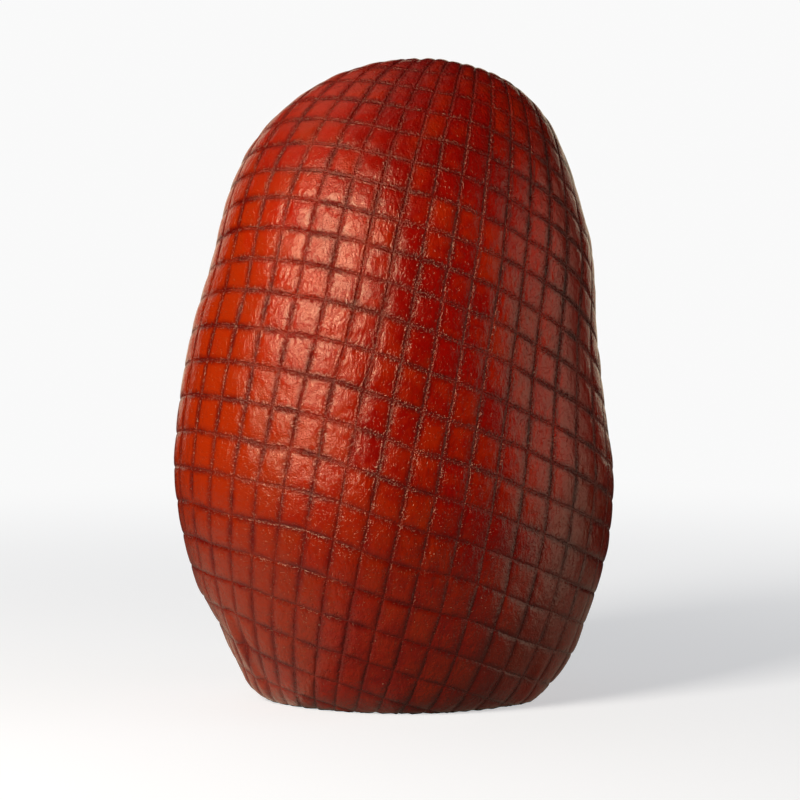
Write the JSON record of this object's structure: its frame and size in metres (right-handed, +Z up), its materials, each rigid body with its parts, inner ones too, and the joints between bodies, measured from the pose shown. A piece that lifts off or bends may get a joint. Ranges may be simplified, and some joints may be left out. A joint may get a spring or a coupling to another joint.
{
  "type": "smoked ham",
  "caption": "Whole boneless smoked ham with deep red-brown skin pressed into a square grid by its cooking net, standing on its broad end.",
  "frame": {"origin": "under the middle of the ham's box, on the surface it stands on", "axes": "+Z up along the ham's length, from the broad end it stands on to the narrow end; the front faces -Y and +X is to its right"},
  "size_m": [0.1868, 0.1582, 0.2693],
  "materials": {
    "smoked_skin": "moist satin smoked skin"
  },
  "bodies": {
    "root": {"ham": "smoked_skin"}
  },
  "joints": []
}
